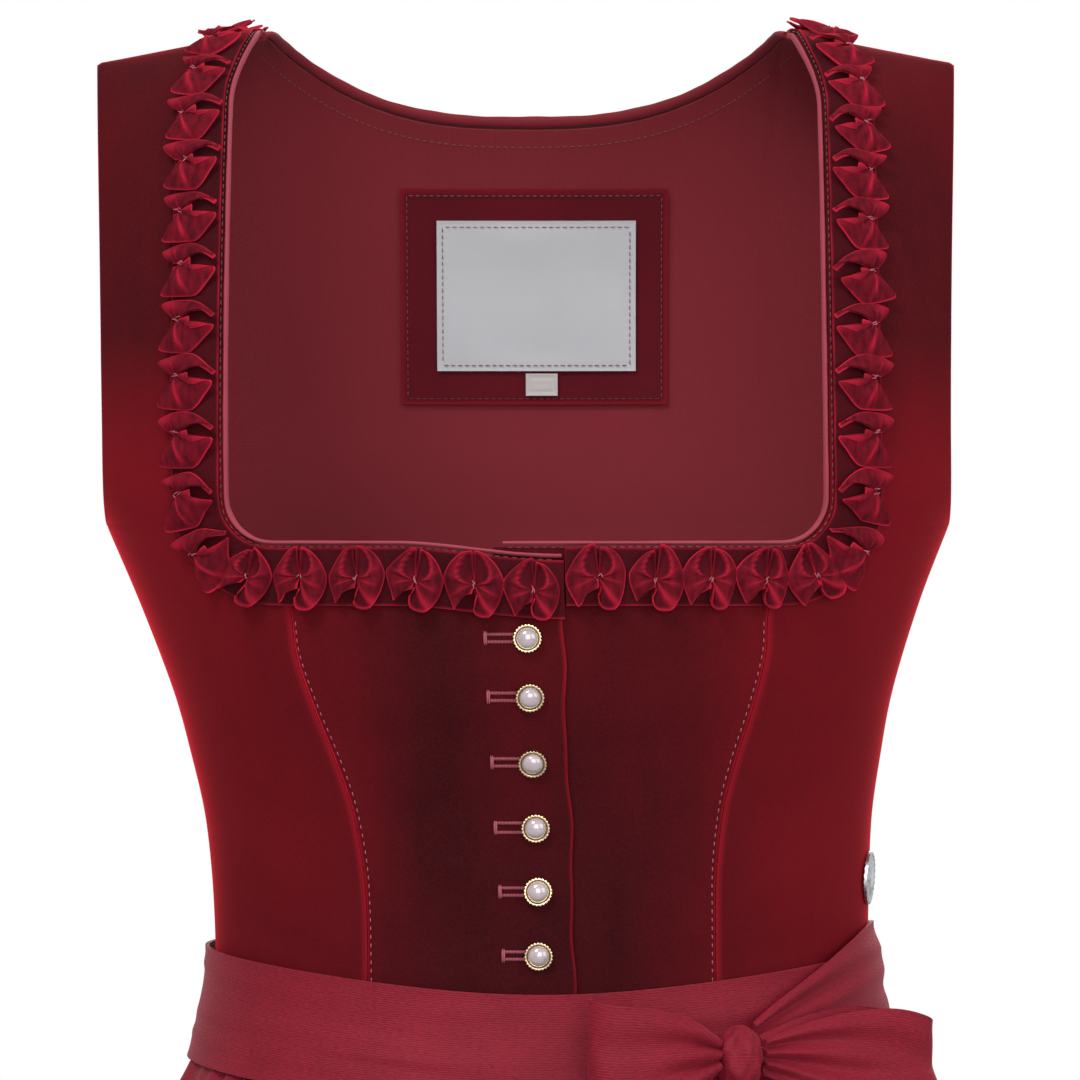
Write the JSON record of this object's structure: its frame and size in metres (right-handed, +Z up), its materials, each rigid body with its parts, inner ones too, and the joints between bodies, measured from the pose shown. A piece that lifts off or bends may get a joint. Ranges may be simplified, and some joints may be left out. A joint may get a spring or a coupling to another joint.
{
  "type": "dirndl dress",
  "caption": "Sleeveless velvet dirndl with a square neck, ruched trim and a buttoned front, a gathered skirt and a crepe apron tied with a bow; held open as if worn.",
  "frame": {"origin": "midway between the tops of the two shoulder straps, where the wearer's shoulders hold the dress", "axes": "+X to the wearer's left, the front looks along -Y, +Z up"},
  "size_m": [0.627, 0.5824, 1.0461],
  "materials": {
    "velvet": "dark wine-red velvet with a deep nap",
    "ruche": "wine-red velvet ribbon, gathered",
    "rose": "dusky rose lining cloth",
    "grey_label": "woven grey ribbon",
    "white_tag": "woven white tape",
    "gilt_rim": "pale gilt, milled",
    "pearl_boss": "pinkish-grey pearl",
    "silver_badge": "engraved silver tone",
    "skirting": "plain rose-red cloth",
    "crepe": "crinkled wine-red crepe with a silky sheen"
  },
  "bodies": {
    "root": {"bodice_front_centre_right": "velvet", "bodice_front_centre_left": "velvet", "bodice_front_side_right": "velvet", "bodice_front_side_left": "velvet", "bodice_back_centre": "velvet", "bodice_back_side_right": "velvet", "bodice_back_side_left": "velvet", "label_patch": "velvet", "trim_ribbon_right": "velvet", "trim_ribbon_left": "velvet", "ruche_right": "ruche", "ruche_left": "ruche", "lining_back_centre": "rose", "lining_back_side_right": "rose", "lining_back_side_left": "rose", "neck_piping": "rose", "label": "grey_label", "size_tag": "white_tag", "button_rim_1": "gilt_rim", "button_rim_2": "gilt_rim", "button_rim_3": "gilt_rim", "button_rim_4": "gilt_rim", "button_rim_5": "gilt_rim", "button_rim_6": "gilt_rim", "button_boss_1": "pearl_boss", "button_boss_2": "pearl_boss", "button_boss_3": "pearl_boss", "button_boss_4": "pearl_boss", "button_boss_5": "pearl_boss", "button_boss_6": "pearl_boss", "side_badge": "silver_badge", "skirt_front": "skirting", "skirt_side_left": "skirting", "skirt_back": "skirting", "skirt_side_right": "skirting", "apron_cloth": "crepe", "apron_waistband": "crepe", "apron_tie_back": "crepe", "apron_tie_end": "crepe", "bow_knot": "crepe", "bow_loop_right": "crepe", "bow_loop_left": "crepe", "bow_tail_right": "crepe", "bow_tail_left": "crepe"}
  },
  "joints": []
}
